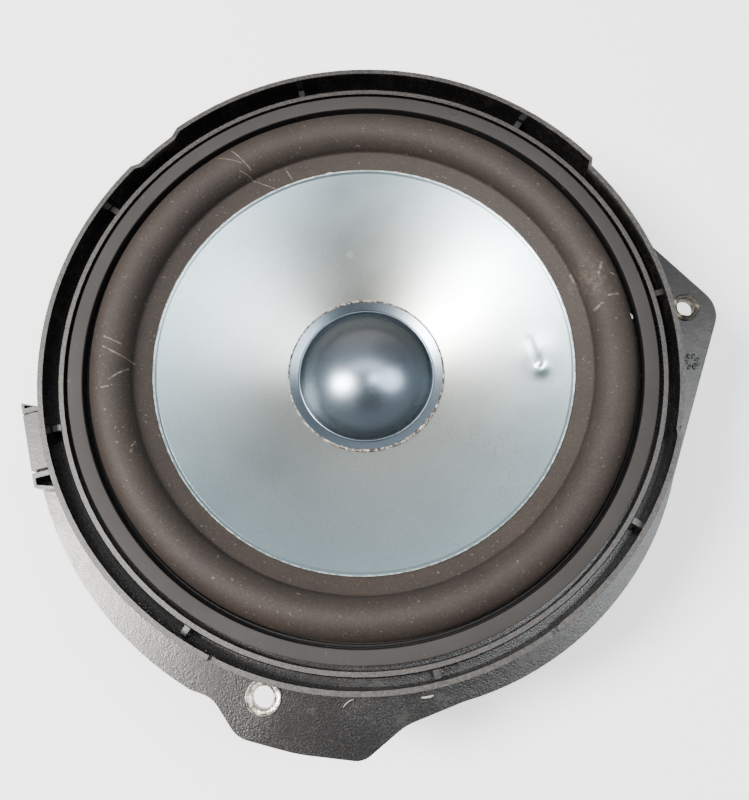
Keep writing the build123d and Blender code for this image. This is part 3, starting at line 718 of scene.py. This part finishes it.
def crumbs_group():
    """Lumps scattered over a piece and joined to it: the lumps alone take the material."""
    tree, given = group("crumbs", {"Density": "Float", "Size": "Float", "Seed": "Int", "Lump": "Material"})
    spots = add(tree, "GeometryNodeDistributePointsOnFaces", {
        "Mesh": given["Geometry"], "Density": given["Density"], "Seed": given["Seed"]})
    ball = add(tree, "GeometryNodeMeshIcoSphere", {"Radius": 1.0, "Subdivisions": 1})
    lump = add(tree, "GeometryNodeStoreNamedAttribute", {"Geometry": ball, "Name": "crumb", "Value": True},
               data_type="BOOLEAN", domain="FACE")
    rough = add(tree, "FunctionNodeRandomValue", {
        0: (0.3, 0.3, 0.15), 1: (1.0, 0.8, 0.5), "Seed": given["Seed"]}, data_type="FLOAT_VECTOR")
    scale = add(tree, VECTOR, {0: rough, "Scale": given["Size"]}, operation="SCALE")
    lumps = add(tree, "GeometryNodeInstanceOnPoints", {
        "Points": spots, "Instance": lump, "Rotation": spots.node.outputs["Rotation"], "Scale": scale})
    both = add(tree, JOIN, {"Geometry": [lumps, given["Geometry"]]})
    marked = add(tree, "GeometryNodeInputNamedAttribute", {"Name": "crumb"}, data_type="BOOLEAN")
    return closed(tree, both, given["Lump"], marked)


WINDING, SCREEN, BRAID, CRUMBS = winding_group(), screen_group(), braid_group(), crumbs_group()


# ---- chassis --------------------------------------------------------------------------------
LEG_CUTS = (63.5 * MM, 82.5 * MM)           # radii of the joints at both ends of a leg
LEG_TOP_Z = 59 * MM
ROSETTE = Vector((108.3 * MM, 1.0 * MM, FLANGE_Z))


def leg_joint(face):
    """Whether a face is one of the joints between the basket's legs and its rim or cup."""
    radii = [math.hypot(v.co.x, v.co.y) for v in face.verts]
    middle = face.calc_center_median()
    upright = abs(face.normal.z) < 0.05
    on_cut = any(max(abs(r - cut) for r in radii) < 0.01 * MM for cut in LEG_CUTS)
    return upright and middle.z < LEG_TOP_Z and on_cut


def rim_softness(side):
    """Share of the full edge radius: all of it along the rim's outer top edge, a third elsewhere."""
    middle = (side.verts[0].co + side.verts[1].co) / 2
    outside = middle.z > FACE_Z + 2.9 * MM and math.hypot(middle.x, middle.y) > 102.15 * MM
    return 1.0 if outside else 0.35


def basket_moulding():
    """The basket's rim, legs and cup as the one moulding that they are."""
    made = softened("basket_moulding", ("basket_rim", "basket_legs", "basket_cup"), "glass_filled_plastic",
                    0.6 * MM, leg_joint, rim_softness)
    return finish_piece(made, CHASSIS)


def ear_rosette():
    """Moulded mark on the ear: eight low petals in a ring."""
    points, faces = [], []
    for k in range(8):
        turn = 2 * math.pi * (k + 0.5) / 8
        along = Vector((math.cos(turn), math.sin(turn), 0))
        across = Vector((-math.sin(turn), math.cos(turn), 0))
        base = len(points)
        petal = [(1.0, 0.0), (1.7, 0.42), (2.5, 0.5), (3.0, 0.0), (2.5, -0.5), (1.7, -0.42)]
        for height, shrink in ((-0.05, 1.0), (0.3, 1.0), (0.42, 0.7)):
            for r, t in petal:
                spot = along * (2.0 + (r - 2.0) * shrink) + across * t * shrink + Vector((0, 0, height))
                points.append(ROSETTE + spot * MM)
        for level in (0, 1):
            for i in range(6):
                j = (i + 1) % 6
                low, high = base + level * 6, base + (level + 1) * 6
                faces.append((low + i, low + j, high + j, high + i))
        faces += [tuple(base + 12 + i for i in range(6)), tuple(base + i for i in reversed(range(6)))]
    made = mesh_object("ear_rosette", points, faces, "glass_filled_plastic")
    outward(made)
    return finish_piece(smooth(made, 50), CHASSIS)


def debris():
    """Bits stuck on the driver: a curled fibre, a chip, a white fleck and two dabs of clear glue."""
    edge_z = CONE_EDGE_Z - 0.1 * MM
    on_face = FACE_Z - 0.6 * MM
    bits = (
        ("fibre", CHASSIS, [(-5.3, -107.4), (-4.6, -106.4), (-3.4, -105.5), (-2.2, -105.1)], FLANGE_Z, 0.1),
        ("chip", CHASSIS, [(18.2, -104.6), (19.6, -104.5), (20.9, -104.3), (22.0, -103.9)], FLANGE_Z, 0.28),
        ("fleck", CHASSIS, [(85.9, 14.6), (86.6, 14.7), (87.3, 13.9), (87.4, 13.0)], on_face, 0.4),
        ("dab_left", DIAPHRAGM, [(-13.9, 67.5), (-12.8, 67.8), (-11.6, 67.9)], edge_z, 0.3),
        ("dab_right", DIAPHRAGM, [(9.4, 68.1), (10.4, 68.1), (11.9, 67.7)], edge_z, 0.25))
    for name, body, path, height, thick in bits:
        sections = []
        for i, (x, y) in enumerate(path):
            before, after = path[max(i - 1, 0)], path[min(i + 1, len(path) - 1)]
            across = Vector((before[1] - after[1], after[0] - before[0], 0)).normalized()
            slim = thick * (0.6 if i in (0, len(path) - 1) else 1.0)
            ring = []
            for k in range(8):
                turn = 2 * math.pi * k / 8
                lift = Vector((0, 0, 0.6 * slim * (1 + math.sin(turn)) - 0.05))
                spot = Vector((x, y, 0)) + across * slim * math.cos(turn) + lift
                ring.append(spot * MM + Vector((0, 0, height)))
            sections.append(ring)
        made = smooth(ring_mesh("stray_" + name, sections, "crumbs", closed=False), 60)
        finish_piece(made, body)


def trim_ring():
    """Trim ring with a flat front face and a lower inner lip."""
    outline = [
        (88.9 * MM, TRIM_BASE_Z), (TRIM_OUTER_R, TRIM_BASE_Z), (TRIM_OUTER_R, FACE_Z), (90.3 * MM, FACE_Z),
        (90.3 * MM, FACE_Z - 4.2 * MM), (89.8 * MM, FACE_Z - 4.2 * MM), (89.8 * MM, FACE_Z - 3.3 * MM),
        (88.9 * MM, FACE_Z - 3.3 * MM),
    ]
    made = turned("trim_ring_moulding", outline, "matt_plastic", 0.35 * MM, 240)
    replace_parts(made, "trim_ring")
    return finish_piece(made, CHASSIS)


def surround_roll():
    """The half roll in equal slices."""
    thick = 1.0 * MM
    middle, half = (ROLL_INNER_R + ROLL_OUTER_R) / 2, (ROLL_OUTER_R - ROLL_INNER_R) / 2
    drop = CONE_T + 0.05 * MM
    inner_r = 66.5 * MM
    root = cone_z(ROLL_INNER_R) - drop

    def roll(inset, count=36):
        """Half round of the roll, from its root at the cone outwards, inset from the front face."""
        for k in range(count + 1):
            turn = math.pi * (1 - k / count)
            yield (middle + (half - inset) * math.cos(turn), root + (ROLL_RISE - inset) * math.sin(turn))

    land_end = ROLL_INNER_R - 0.5 * MM
    outer = TRIM_OUTER_R - 0.3 * MM
    low = TRIM_BASE_Z - thick
    line = [(inner_r, cone_z(inner_r) - drop), (land_end, cone_z(land_end) - drop)]
    line += [(ROLL_INNER_R - 0.12 * MM, root + 0.12 * MM)] + list(roll(0))[1:]
    line += [(ROLL_OUTER_R, TRIM_BASE_Z), (outer, TRIM_BASE_Z), (outer, low), (ROLL_OUTER_R - thick, low)]
    line += list(roll(thick))[::-1]
    line += [(ROLL_INNER_R, root - thick), (inner_r, cone_z(inner_r) - drop - thick)]
    span = 2 * math.pi / SECTORS
    for k in range(SECTORS):
        made = slice_of_ring(f"surround_{k + 1:02d}", line, "rubber", k * span, span)
        grown(made, CRUMBS, Density=13000.0, Size=0.065 * MM, Seed=k, Lump=MATERIALS["crumbs"])
        flex(made, "surround")


def slice_of_ring(name, line, looks, start, span, steps=12):
    """Closed slice between two angles of a ring with a closed (r, z) outline."""
    sections = [swept(line, start + span * k / steps) for k in range(steps + 1)]
    return smooth(ring_mesh(name, sections, looks, closed=False), 40.0)


def flex(made, node):
    """Bakes a slice's placing into its mesh and hides the CAD node that it stands for."""
    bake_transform(made)
    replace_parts(made, node)


def spider_disc():
    """Corrugated cloth disc in the same number of slices as the surround."""
    low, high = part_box("spider")
    inner, outer = 19.7 * MM, high.x
    start, end = 21.6 * MM, 49.2 * MM
    mid, thick = (low.z + high.z) / 2, 0.55 * MM
    top = [(inner, mid + thick / 2)]
    count = 100
    for k in range(count + 1):
        t = k / count
        swing = math.sin(2 * math.pi * 5 * t) * min(1.0, 8 * t, 8 * (1 - t))
        top.append((start + (end - start) * t, mid + thick / 2 + 1.1 * MM * swing))
    top.append((outer, mid + thick / 2))
    line = top + [(r, z - thick) for r, z in top[::-1]]
    span = 2 * math.pi / SECTORS
    for k in range(SECTORS):
        made = slice_of_ring(f"spider_{k + 1:02d}", line, "spider_cloth", k * span, span, 6)
        flex(made, "spider")


def sleeves():
    """Steel compression sleeves, each with a rolled head that is uneven and scuffed by its screw."""
    for name, hole, barrel, looks in (("right", 2.9, 3.9, "dull_steel"), ("bottom", 3.3, 4.6, "worn_steel")):
        node = "sleeve_" + name
        low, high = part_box(node)
        centre = ((low.x + high.x) / 2, (low.y + high.y) / 2)
        head, top = (high.x - low.x) / 2, high.z
        outline = [(hole * MM, low.z), (barrel * MM, low.z), (barrel * MM, FLANGE_Z), (head, FLANGE_Z),
                   (head, top - 0.2 * MM), (head - 0.3 * MM, top), (head - 0.6 * MM, top - 0.3 * MM),
                   (hole * MM + 0.6 * MM, top - 0.4 * MM), (hole * MM + 0.3 * MM, top),
                   (hole * MM, top - 0.25 * MM)]
        line = rounded(outline, 0.12 * MM)
        sections = []
        for k in range(120):
            turn = 2 * math.pi * k / 120
            here = Vector((math.cos(turn), math.sin(turn), 0))
            press = 0.18 * MM * max(0, waves.noise(here * 5 + Vector((3, 0, 0))))
            section = []
            for i, (r, z) in enumerate(line):
                if z > FLANGE_Z:
                    r += 0.22 * MM * waves.noise(here * 2.5 + Vector((0, 0, i // 4)))
                if z > FLANGE_Z + 0.2 * MM:
                    r, z = min(max(r, hole * MM), head), z - press
                section.append((r, z))
            sections.append(swept(section, turn, centre))
        made = smooth(ring_mesh(node + "_collar", sections, looks), 40)
        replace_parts(made, node)
        finish_piece(made, CHASSIS)


def motor():
    """Yoke with its vented pole, magnet, top plate and screws."""
    yoke_high = 27.0 * MM
    outline = [(7.5 * MM, 0), (45.0 * MM, 0), (46.0 * MM, 1.0 * MM), (46.0 * MM, 6.0 * MM),
               (18.7 * MM, 6.0 * MM), (18.7 * MM, yoke_high), (5.5 * MM, yoke_high), (5.5 * MM, 2.0 * MM)]
    yoke = turned("yoke_forging", outline, "plated_steel", 0.3 * MM)
    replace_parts(yoke, "yoke")
    finish_piece(yoke, CHASSIS)
    outline = [(26.0 * MM, 6.0 * MM), (47.5 * MM, 6.0 * MM), (47.5 * MM, 21.0 * MM), (26.0 * MM, 21.0 * MM)]
    magnet = turned("magnet_ring", outline, "ferrite", 0.9 * MM)
    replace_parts(magnet, "magnet")
    finish_piece(magnet, CHASSIS)
    plate = softened("top_plate_disc", ["top_plate"], "plated_steel", 0.3 * MM)
    finish_piece(plate, CHASSIS)
    heads = softened("motor_screw_heads", ["motor_screws"], "black_zinc", 0.12 * MM)
    finish_piece(heads, CHASSIS)


def gasket():
    """Foam ring behind the flange."""
    low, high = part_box("flange_gasket")
    outline = [(93.5 * MM, low.z), (101.0 * MM, low.z), (101.0 * MM, high.z), (93.5 * MM, high.z)]
    made = turned("gasket_foam_ring", outline, "foam", 0.4 * MM, 240)
    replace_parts(made, "flange_gasket")
    finish_piece(made, CHASSIS)


def vent_screen():
    """Wire screen in its thin round frame, inside the yoke's vent."""
    low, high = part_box("vent_screen")
    inner, outer = high.x - 0.35 * MM, high.x
    outline = [(inner, -0.2 * MM), (outer, -0.2 * MM), (outer, 0.3 * MM), (inner, 0.3 * MM)]
    rim = turned("vent_screen_mesh", outline, "screen_wire", 0.05 * MM, 64)
    grown(rim, SCREEN, Radius=high.x - 0.1 * MM, Pitch=0.8 * MM, Wire=0.12 * MM)
    rim.data.transform(Matrix.Translation((0, 0, low.z + 0.15 * MM)))
    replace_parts(rim, "vent_screen")
    finish_piece(smooth(rim, 60), CHASSIS)


def terminals():
    """Terminal block and its two blades."""
    block = softened("terminal_block_moulding", ["terminal_block"], "black_plastic", 0.25 * MM)
    finish_piece(block, CHASSIS)
    for sign in ("positive", "negative"):
        node = "terminal_" + sign
        finish_piece(softened(node + "_strip", [node], "tinned_brass", 0.1 * MM), CHASSIS)


LEAD_ROUTE = [
    (52.7, 43.9), (47.5, 44.2), (41.5, 47.4), (34.0, 47.2), (27.5, 42.9), (21.3, 41.2), (20.5, 41.1),
]


def eased(route, times=3):
    """An open line with its corners cut again and again."""
    for _ in range(times):
        line = [route[0]]
        for before, after in zip(route, route[1:]):
            for t in (0.25, 0.75):
                line.append(tuple(a + (b - a) * t for a, b in zip(before, after)))
        route = line + [route[-1]]
    return route


def tinsel_leads():
    """Braided leads, each bending from its terminal tag to the coil former."""
    for sign, side in (("positive", -1), ("negative", 1)):
        node = "lead_" + sign
        out = Vector((side * 6.6, 52.5, 0)).normalized()
        route = [out * (r * MM) + Vector((0, 0, z * MM)) for r, z in eased(LEAD_ROUTE)]
        made = mesh_object(node + "_braid", route, [], None, [(i, i + 1) for i in range(len(route) - 1)])
        grown(made, BRAID, Strands=12, Radius=0.62 * MM, Strand=0.22 * MM, Turns=7.0)
        smooth(made, 60)
        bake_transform(made)
        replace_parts(made, node)


# ---- moving assembly ------------------------------------------------------------------------
# Creases run from one point to another in millimetres, with the height that they rise to.
DENT_CREASES = ((54.9, 9.2, 57.9, 0.4, 0.4), (59.3, 4.6, 58.0, 0.4, 0.2))
DENT_MIDDLE, DENT_PIT = (57.5, 3.5), (58.6, -1.8)


def dent(x, y):
    """Height of the small V-creased dent in the cone, and a faint overall waviness."""
    here = Vector((x, y)) / MM
    height = -0.35 * math.exp(-((here - Vector(DENT_MIDDLE)).length / 5.5) ** 2)
    height -= 0.6 * math.exp(-((here - Vector(DENT_PIT)).length / 2.1) ** 2)
    for x1, y1, x2, y2, rise in DENT_CREASES:
        start, end = Vector((x1, y1)), Vector((x2, y2))
        along = min(max((here - start).dot(end - start) / (end - start).length_squared, 0), 1)
        height += rise * (0.3 + 0.7 * along) * math.exp(-((here - start.lerp(end, along)).length / 0.9) ** 2)
    return height * MM + 0.05 * MM * waves.noise(Vector((x, y, 0)) / (24 * MM))


def cone_shell():
    """Straight-sided aluminium cone with a cut edge and a short neck."""
    count, segments = 64, 480
    neck_r, outer = 20.2 * MM, CONE_EDGE_R
    drop = CONE_T / math.cos(CONE_TILT)
    radii = [neck_r + (outer - 0.05 * MM - neck_r) * k / count for k in range(count + 1)]
    low = 43.5 * MM
    sections = []
    radii[-2:] = [outer - x * MM for x in (1.25, 1.1, 0.95, 0.8, 0.4, 0.05)]
    for k in range(segments):
        turn = 2 * math.pi * k / segments
        cosine, sine = math.cos(turn), math.sin(turn)
        nick = waves.noise(Vector((cosine, sine, 0)) * 40)
        line = [(r, cone_z(r) + dent(r * cosine, r * sine)) for r in radii]
        # The rim is bent down slightly, then sheared off with small nicks.
        line[-5] = (line[-5][0], line[-5][1] - 0.12 * MM)
        line[-4] = (line[-4][0], line[-4][1] - (0.1 + 0.05 * nick) * MM)
        line[-2] = (line[-2][0] - 0.15 * nick * MM, line[-2][1] + 0.06 * MM)
        edge = line[-1][1]
        line += [(outer, edge - 0.08 * MM), (outer, edge - drop + 0.08 * MM)]
        line += [(outer - 0.05 * MM, edge - drop)]
        line += [(r, cone_z(r) + dent(r * cosine, r * sine) - drop) for r in radii[-2:0:-1]]
        line += [(neck_r + 0.3 * MM, cone_z(neck_r) - drop - 0.3 * MM), (neck_r + 0.3 * MM, low)]
        line += [(19.35 * MM, low), (19.35 * MM, cone_z(neck_r) - 0.1 * MM)]
        sections.append(swept(line, turn))
    made = smooth(ring_mesh("cone_dish", sections, "cone_metal"), 30)
    made.data.materials.append(MATERIALS["cut_edge_metal"])
    for face in made.data.polygons:
        radius = math.hypot(face.center.x, face.center.y)
        if radius > outer - 0.1 * MM or radius > outer - 0.45 * MM and face.normal.z > 0.2:
            face.material_index = 1
    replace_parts(made, "cone")
    finish_piece(made, DIAPHRAGM)


def dust_cap():
    """Polished dome that turns up into a conical skirt with a fine fold at its root."""
    root_r, rise, thick = 22.9 * MM, 10.0 * MM, 0.4 * MM
    radius = (root_r ** 2 + rise ** 2) / (2 * rise)
    half = math.atan2(root_r, radius - rise)
    root = cone_z(root_r) + thick
    centre = root + rise - radius
    slopes = [half * (1 - k / 48) for k in range(48)]
    dome = [(radius * math.sin(slope), centre + radius * math.cos(slope)) for slope in slopes]
    edge = cone_z(CAP_SKIRT_R) + thick
    skirt = [(CAP_SKIRT_R, edge - 0.05 * MM), (CAP_SKIRT_R - 0.1 * MM, edge)]
    top = skirt + [(root_r + 0.75 * MM, cone_z(root_r + 0.75 * MM) + thick)]
    fold = root_r + 0.35 * MM
    for k in range(7):
        turn = math.pi * k / 6
        top.append((fold + 0.33 * MM * math.cos(turn), cone_z(fold) + thick + 0.3 * MM * math.sin(turn)))
    top += dome[1:]
    segments = 256
    points, faces = [], []
    for k in range(segments):
        points += swept(top, 2 * math.pi * k / segments)
    count = len(top)
    for k in range(segments):
        nxt = (k + 1) % segments
        for i in range(count - 1):
            faces.append((k * count + i, nxt * count + i, nxt * count + i + 1, k * count + i + 1))
        faces.append((k * count + count - 1, nxt * count + count - 1, segments * count))
    points.append((0, 0, centre + radius))
    made = mesh_object("dust_cap_dome", points, faces, "cap_metal")
    shell = made.modifiers.new("sheet", "SOLIDIFY")
    shell.thickness = thick * 0.9
    shell.offset = -1
    if made.data.polygons[0].normal.z < 0:
        made.data.flip_normals()
    evaluated(made)
    outward(made)
    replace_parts(smooth(made, 30), "dust_cap")
    finish_piece(made, DIAPHRAGM)


GLUE_RUNS = ((105, 26, 0.7), (60, 14, 0.35), (262, 20, 0.7), (312, 26, 1.0))    # degrees, spread, share


def glue_bead():
    """Uneven bead of set glue round the cap's edge, with crumbs where it was laid thickest."""
    segments, around = 720, 10
    sections = []
    for k in range(segments):
        turn = 2 * math.pi * k / segments
        degrees = math.degrees(turn)
        heavy = sum(
            share * math.exp(-((degrees - middle) / width) ** 2) for middle, width, share in GLUE_RUNS)
        here = Vector((math.cos(turn), math.sin(turn), 0))
        lump = 0.5 + 0.9 * waves.noise(here * 55) + 0.6 * waves.noise(here * 160)
        wide = (0.16 + 0.3 * heavy + 0.14 * max(lump, 0)) * MM
        high = (0.16 + 0.24 * heavy + 0.12 * max(lump, 0)) * MM
        middle = CAP_SKIRT_R + (0.28 + 0.15 * waves.noise(here * 30)) * MM
        section = []
        for i in range(around):
            swing = 2 * math.pi * i / around
            grit = 1 + 0.25 * waves.noise(here * 300 + Vector((0, 0, i)))
            section.append((middle + wide * math.cos(swing) * grit,
                            cone_z(middle) + 0.25 * MM + high * math.sin(swing) * grit))
        sections.append(swept(section, turn))
    made = ring_mesh("cap_glue_bead", sections, "hardened_glue")
    grown(made, CRUMBS, Density=650000.0, Size=0.34 * MM, Seed=5, Lump=MATERIALS["hardened_glue"])
    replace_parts(smooth(made, 50), "cap_adhesive")
    finish_piece(made, DIAPHRAGM)


def coil():
    """Former, winding and the glue that holds the cone's neck."""
    low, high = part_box("coil_former")
    outline = [(19.05 * MM, low.z), (19.25 * MM, low.z), (19.25 * MM, high.z), (19.05 * MM, high.z)]
    former = turned("coil_former_tube", outline, "aramid_paper", 0.04 * MM)
    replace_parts(former, "coil_former")
    finish_piece(former, DIAPHRAGM)
    low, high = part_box("voice_coil")
    wire = 0.33 * MM
    winding = mesh_object("voice_coil_winding", [], [], "enamelled_copper")
    grown(winding, WINDING, Radius=19.27 * MM + wire, Height=high.z - low.z - 2 * wire, Wire=wire)
    winding.data.transform(Matrix.Translation((0, 0, low.z + wire)))
    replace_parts(smooth(winding, 60), "voice_coil")
    finish_piece(winding, DIAPHRAGM)
    low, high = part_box("neck_adhesive")
    outline = [(19.3 * MM, low.z), (20.15 * MM, high.z), (19.3 * MM, high.z)]
    glue = turned("neck_glue_fillet", outline, "dark_glue", 0.1 * MM)
    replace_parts(glue, "neck_adhesive")
    finish_piece(glue, DIAPHRAGM)
    for sign in ("positive", "negative"):
        node = "lead_pad_" + sign
        finish_piece(softened(node + "_solder", [node], "solder", 0.25 * MM), DIAPHRAGM)


# ---- stage ----------------------------------------------------------------------------------
EYE = Vector((13.3, -77.9, 257.0)) * MM     # from the middle of the driver's face
EYE_ROLL, EYE_TILT = math.radians(0.24), math.radians(13.91)


def camera():
    """Camera over the front of the driver, tilted towards its far side."""
    lens = bpy.data.cameras.new("camera")
    lens.sensor_width = 36.0
    lens.lens = 37.53
    lens.shift_x = -0.0335
    lens.clip_start = 0.01
    eye = bpy.data.objects.new("camera", lens)
    bpy.context.scene.collection.objects.link(eye)
    turn = Matrix.Rotation(EYE_ROLL, 4, "Y") @ Matrix.Rotation(EYE_TILT, 4, "X")
    eye.matrix_world = Matrix.Translation(EYE + Vector((0, 0, FACE_Z))) @ turn
    bpy.context.scene.camera = eye


def lamp(name, direction, distance, width, height, power, colour):
    """Oval soft box aimed at the cone from a direction: metres and watts."""
    light = bpy.data.lights.new(name, "AREA")
    light.shape = "ELLIPSE"
    light.size, light.size_y = width, height
    light.energy = power
    light.color = linear(colour)[:3]
    made = bpy.data.objects.new(name, light)
    bpy.context.scene.collection.objects.link(made)
    aim = Vector(direction).normalized()
    made.location = Vector((0, 0, FACE_Z)) + aim * distance
    made.rotation_euler = aim.to_track_quat("Z", "Y").to_euler()


def room():
    """Pale room: even light, dimmer where the bench's own front and a gap between the soft boxes are."""
    world = bpy.data.worlds.new("room")
    bpy.context.scene.world = world
    world.use_nodes = True
    tree = world.node_tree
    place = add(tree, "ShaderNodeTexCoord", (), "Generated")

    def patch(direction, inner, outer):
        """1 inside a cone about a direction and 0 outside it, given by the cosines of its edges."""
        aim = Vector(direction).normalized()
        dot = add(tree, VECTOR, (place, aim), "Value", operation="DOT_PRODUCT")
        return add(tree, RANGE, (dot, outer, inner), interpolation_type="SMOOTHSTEP")

    level = add(tree, MATH, (patch((0, 0.83, 0.56), 0.97, 0.6), 0.42, 0.55), operation="MULTIPLY_ADD")
    bench, gap = patch((0.0, -0.26, 0.965), 0.985, 0.85), patch((0.47, 0.59, 0.65), 0.98, 0.88)
    for dark, depth in ((bench, 0.95), (gap, 0.45)):
        kept = add(tree, MATH, (dark, -depth, 1.0), operation="MULTIPLY_ADD")
        level = add(tree, MATH, (level, kept), operation="MULTIPLY")
    background = tree.nodes["Background"]
    background.inputs["Color"].default_value = linear("#eef3f6")
    tree.links.new(level, background.inputs["Strength"])


def studio():
    """Pale room, four soft boxes and a glowing white bench just under the driver."""
    room()
    lamp("left_box", (-0.54, -0.06, 0.84), 1.1, 0.3, 0.42, 30.0, "#fffaf5")
    lamp("right_box", (0.16, 0.03, 0.98), 1.2, 0.2, 0.2, 2.2, "#fbfdff")
    lamp("far_box", (0.5, 0.02, 0.86), 1.1, 0.5, 0.6, 6.5, "#fbfdff")
    lamp("top_box", (0.0, 0.3, 0.95), 1.2, 1.0, 0.3, 2.6, "#ffffff")
    reach, low = 3.0, -0.5 * MM
    corners = [(x * reach, y * reach, low) for x, y in ((-1, -1), (1, -1), (1, 1), (-1, 1))]
    floor = mesh_object("floor", corners, [(0, 1, 2, 3)], None)
    glow = {"Emission Color": linear("#ffffff"), "Emission Strength": 0.9}
    floor.data.materials.append(material("floor_white", "#ffffff", 0.9, **glow)[0])


camera()
basket_moulding()
ear_rosette()
debris()
trim_ring()
surround_roll()
spider_disc()
sleeves()
motor()
gasket()
vent_screen()
terminals()
tinsel_leads()
cone_shell()
dust_cap()
glue_bead()
coil()
studio()
